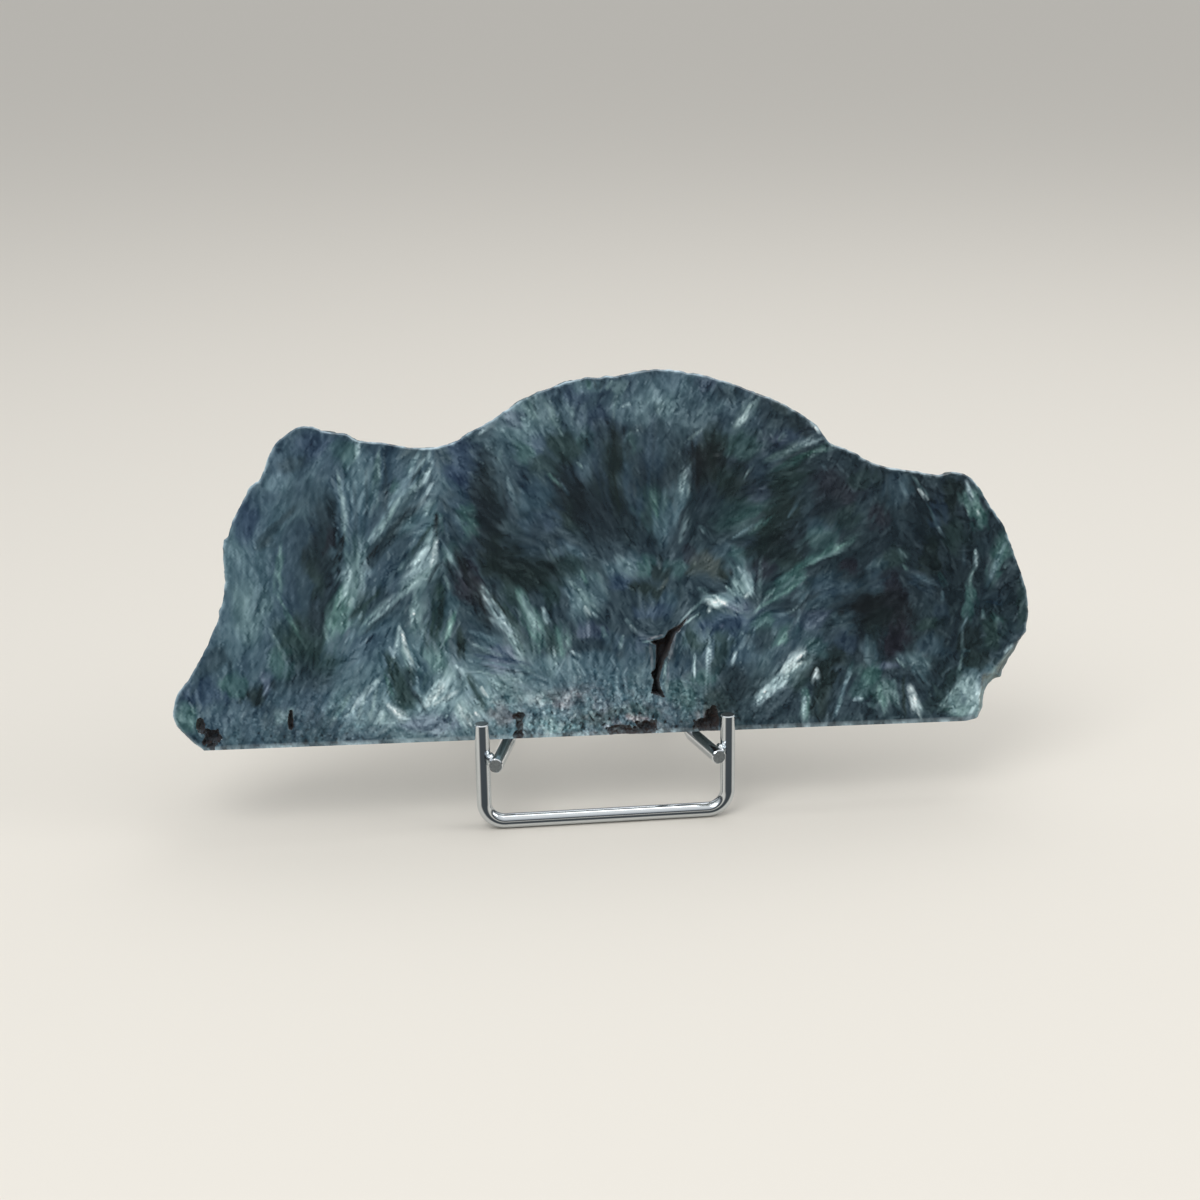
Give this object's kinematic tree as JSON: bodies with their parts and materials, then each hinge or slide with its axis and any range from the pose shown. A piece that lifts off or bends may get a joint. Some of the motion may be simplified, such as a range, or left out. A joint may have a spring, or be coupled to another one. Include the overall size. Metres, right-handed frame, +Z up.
{
  "type": "polished seraphinite slab on a wire display stand",
  "caption": "Polished slab of dark green seraphinite with silvery feather pattern, sawn flat at its foot and leaning in a bent chrome rod stand.",
  "frame": {"origin": "middle of the object's footprint, on the surface it stands on", "axes": "+X along the slab to its viewer's right, +Y from the polished face to the back, +Z up"},
  "size_m": [0.228, 0.0812, 0.1162],
  "materials": {
    "polished_seraphinite": "polished",
    "chromed_rod": "polished"
  },
  "bodies": {
    "root": {"slab": "polished_seraphinite", "front_frame": "chromed_rod", "rear_frame": "chromed_rod"}
  },
  "joints": []
}
